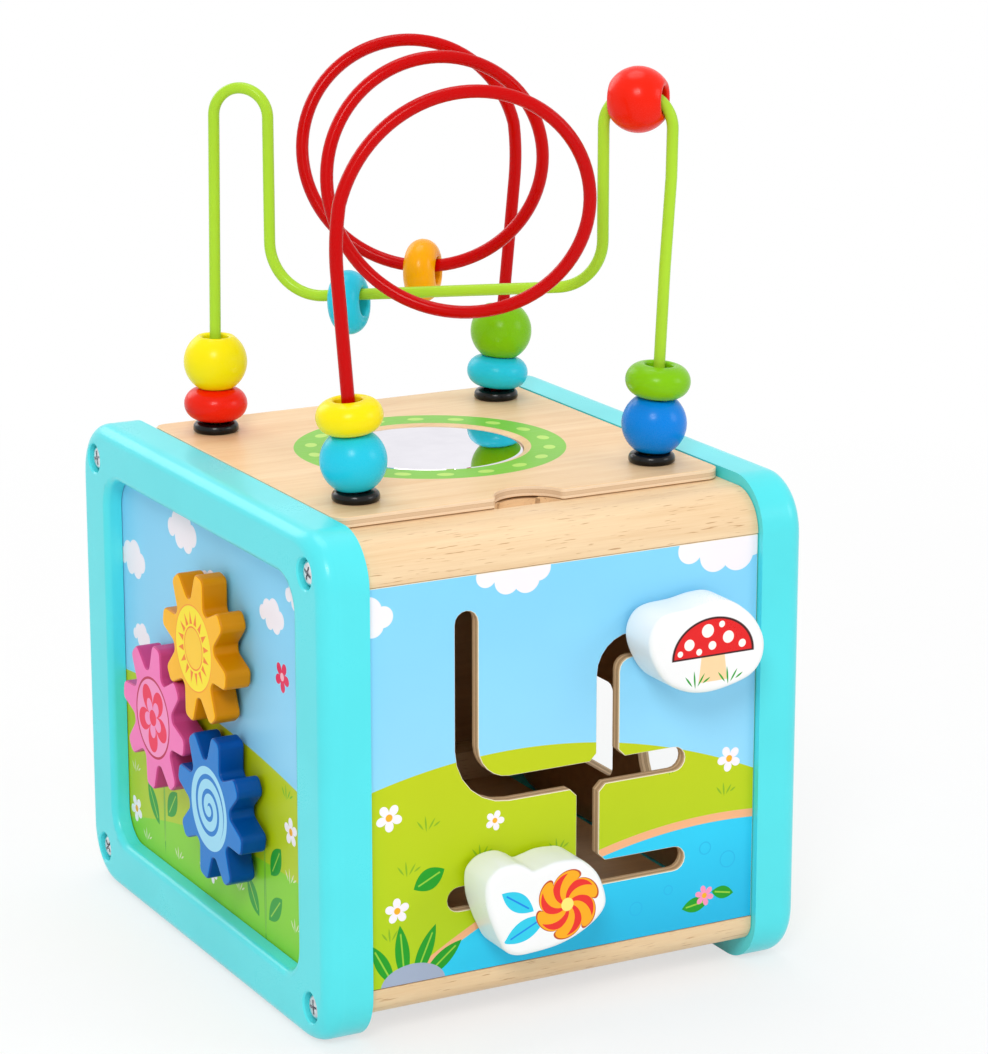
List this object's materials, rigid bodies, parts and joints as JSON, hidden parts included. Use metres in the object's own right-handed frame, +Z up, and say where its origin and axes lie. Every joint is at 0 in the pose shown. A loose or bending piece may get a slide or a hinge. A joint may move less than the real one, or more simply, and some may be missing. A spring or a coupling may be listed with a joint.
{
  "type": "wooden activity cube",
  "caption": "Box-shaped wooden play centre: bead maze on a lift-off lid with a mirror, meshed gears, shape sorter, sliding-block slot track and clock hands.",
  "frame": {"origin": "on the floor, under the middle of the whole toy's bounding box", "axes": "+Z up; -Y out of the front slot-track panel; -X out of the gear panel; +X out of the shape-sorter panel"},
  "size_m": [0.2046, 0.2478, 0.3441],
  "materials": {
    "turquoise_paint": "satin turquoise lacquer",
    "bare_beech": "clear satin lacquer",
    "printed_ply": "printed and lacquered plywood",
    "lid_ply": "clear lacquered plywood with a printed ring",
    "inner_ply": "bare plywood",
    "silvered": "mirror",
    "black_gloss": "gloss black",
    "screw_steel": "zinc plated",
    "red_enamel": "gloss red coating",
    "lime_enamel": "gloss lime coating",
    "bead_red": "gloss lacquer",
    "bead_yellow": "gloss lacquer",
    "bead_sky": "gloss lacquer",
    "bead_green": "gloss lacquer",
    "bead_blue": "gloss lacquer",
    "bead_orange": "gloss lacquer",
    "sun_paint": "satin lacquer with a printed disc",
    "pink_paint": "satin lacquer with a printed disc",
    "blue_paint": "satin lacquer with a printed disc",
    "white_paint": "satin white lacquer with a printed motif",
    "stem_wood": "bare"
  },
  "bodies": {
    "box": {"side_frame_left": "turquoise_paint", "side_frame_right": "turquoise_paint", "gear_board": "printed_ply", "sorter_board": "printed_ply", "track_board": "printed_ply", "clock_board": "printed_ply", "base_board": "inner_ply", "top_rail_front": "bare_beech", "top_rail_back": "bare_beech", "bottom_rail_front": "bare_beech", "bottom_rail_back": "bare_beech", "frame_screw_left_front_bottom": "screw_steel", "frame_screw_left_back_bottom": "screw_steel", "frame_screw_left_front_top": "screw_steel", "frame_screw_left_back_top": "screw_steel", "frame_screw_right_front_bottom": "screw_steel", "frame_screw_right_back_bottom": "screw_steel", "frame_screw_right_front_top": "screw_steel", "frame_screw_right_back_top": "screw_steel", "sun_pivot": "screw_steel", "pink_pivot": "screw_steel", "blue_pivot": "screw_steel", "clock_pin": "bead_yellow"},
    "lid": {"lid": "lid_ply", "mirror": "silvered", "post_cap_front_left": "black_gloss", "post_cap_front_right": "black_gloss", "post_cap_back_left": "black_gloss", "post_cap_back_right": "black_gloss", "post_nut_front_left": "screw_steel", "post_nut_front_right": "screw_steel", "post_nut_back_left": "screw_steel", "post_nut_back_right": "screw_steel", "wire_green": "lime_enamel", "wire_red": "red_enamel"},
    "front_left_ball": {"bead_front_left_ball": "bead_sky"},
    "front_left_disc": {"bead_front_left_disc": "bead_yellow"},
    "back_right_disc": {"bead_back_right_disc": "bead_sky"},
    "back_right_ball": {"bead_back_right_ball": "bead_green"},
    "back_left_disc": {"bead_back_left_disc": "bead_red"},
    "back_left_ball": {"bead_back_left_ball": "bead_yellow"},
    "front_right_ball": {"bead_front_right_ball": "bead_blue"},
    "front_right_disc": {"bead_front_right_disc": "bead_green"},
    "sag_disc": {"bead_sag_disc": "bead_sky"},
    "hump_ball": {"bead_hump_ball": "bead_red"},
    "loop_disc": {"bead_loop_disc": "bead_orange"},
    "upper_slider": {"upper_block": "white_paint", "upper_block_keeper": "stem_wood"},
    "lower_slider": {"lower_block": "white_paint", "lower_block_keeper": "stem_wood"},
    "sun_wheel": {"sun_gear": "sun_paint"},
    "pink_wheel": {"pink_gear": "pink_paint"},
    "blue_wheel": {"blue_gear": "blue_paint"},
    "hour": {"hour_hand": "bead_red"},
    "minute": {"minute_hand": "bead_blue"}
  },
  "joints": [
    {"name": "lid_lift", "type": "slide", "parent": "box", "child": "lid", "axis": [0, 0, 1], "range_m": [0, 0.05]},
    {"name": "front_left_ball_slide", "type": "slide", "parent": "lid", "child": "front_left_ball", "axis": [-0.0831, 0, 0.9965], "range_m": [0, 0.027]},
    {"name": "front_left_disc_slide", "type": "slide", "parent": "front_left_ball", "child": "front_left_disc", "axis": [-0.0831, 0, 0.9965], "range_m": [0, 0.027]},
    {"name": "back_right_disc_slide", "type": "slide", "parent": "lid", "child": "back_right_disc", "axis": [0.0988, 0, 0.9951], "range_m": [0, 0.028]},
    {"name": "back_right_ball_slide", "type": "slide", "parent": "back_right_disc", "child": "back_right_ball", "axis": [0.0988, 0, 0.9951], "range_m": [0, 0.028]},
    {"name": "back_left_disc_slide", "type": "slide", "parent": "lid", "child": "back_left_disc", "axis": [0.0094, -0.0094, 0.9999], "range_m": [0, 0.042]},
    {"name": "back_left_ball_slide", "type": "slide", "parent": "back_left_disc", "child": "back_left_ball", "axis": [0.0094, -0.0094, 0.9999], "range_m": [0, 0.042]},
    {"name": "front_right_ball_slide", "type": "slide", "parent": "lid", "child": "front_right_ball", "axis": [0.0545, -0.0545, 0.997], "range_m": [0, 0.036]},
    {"name": "front_right_disc_slide", "type": "slide", "parent": "front_right_ball", "child": "front_right_disc", "axis": [0.0545, -0.0545, 0.997], "range_m": [0, 0.036]},
    {"name": "sag_disc_slide", "type": "slide", "parent": "lid", "child": "sag_disc", "axis": [0.7041, -0.7041, 0.0914], "range_m": [-0.004, 0.074]},
    {"name": "hump_ball_turn", "type": "hinge", "parent": "lid", "child": "hump_ball", "pos_m": [0.05998, -0.05143, 0.3188], "axis": [0.7071, 0.7071, 0], "range_deg": [-40, 40]},
    {"name": "loop_disc_turn", "type": "hinge", "parent": "lid", "child": "loop_disc", "pos_m": [0.01544, 0.03942, 0.30666], "axis": [0.652, 0.7582, 0.0029], "range_deg": [-20, 20]},
    {"name": "upper_slider_slide", "type": "slide", "parent": "box", "child": "upper_slider", "axis": [1, 0, 0], "range_m": [-0.019, 0]},
    {"name": "lower_slider_slide", "type": "slide", "parent": "box", "child": "lower_slider", "axis": [1, 0, 0], "range_m": [-0.0252, 0.0655]},
    {"name": "sun_gear_spin", "type": "hinge", "parent": "box", "child": "sun_wheel", "pos_m": [-0.0976, -0.0028, 0.1275], "axis": [1, 0, 0], "continuous": true},
    {"name": "pink_gear_spin", "type": "hinge", "parent": "box", "child": "pink_wheel", "pos_m": [-0.0976, 0.0382, 0.0886], "axis": [1, 0, 0], "continuous": true},
    {"name": "blue_gear_spin", "type": "hinge", "parent": "box", "child": "blue_wheel", "pos_m": [-0.0976, -0.0143, 0.0676], "axis": [1, 0, 0], "continuous": true},
    {"name": "hour_hand_turn", "type": "hinge", "parent": "box", "child": "hour", "pos_m": [0.00235, 0.1166, 0.09665], "axis": [0, 1, 0], "continuous": true},
    {"name": "minute_hand_turn", "type": "hinge", "parent": "box", "child": "minute", "pos_m": [0.00235, 0.1199, 0.09665], "axis": [0, 1, 0], "continuous": true}
  ],
  "couplings": [
    {"joint": "pink_gear_spin", "follows": "sun_gear_spin", "ratio": -1},
    {"joint": "blue_gear_spin", "follows": "sun_gear_spin", "ratio": 1}
  ]
}
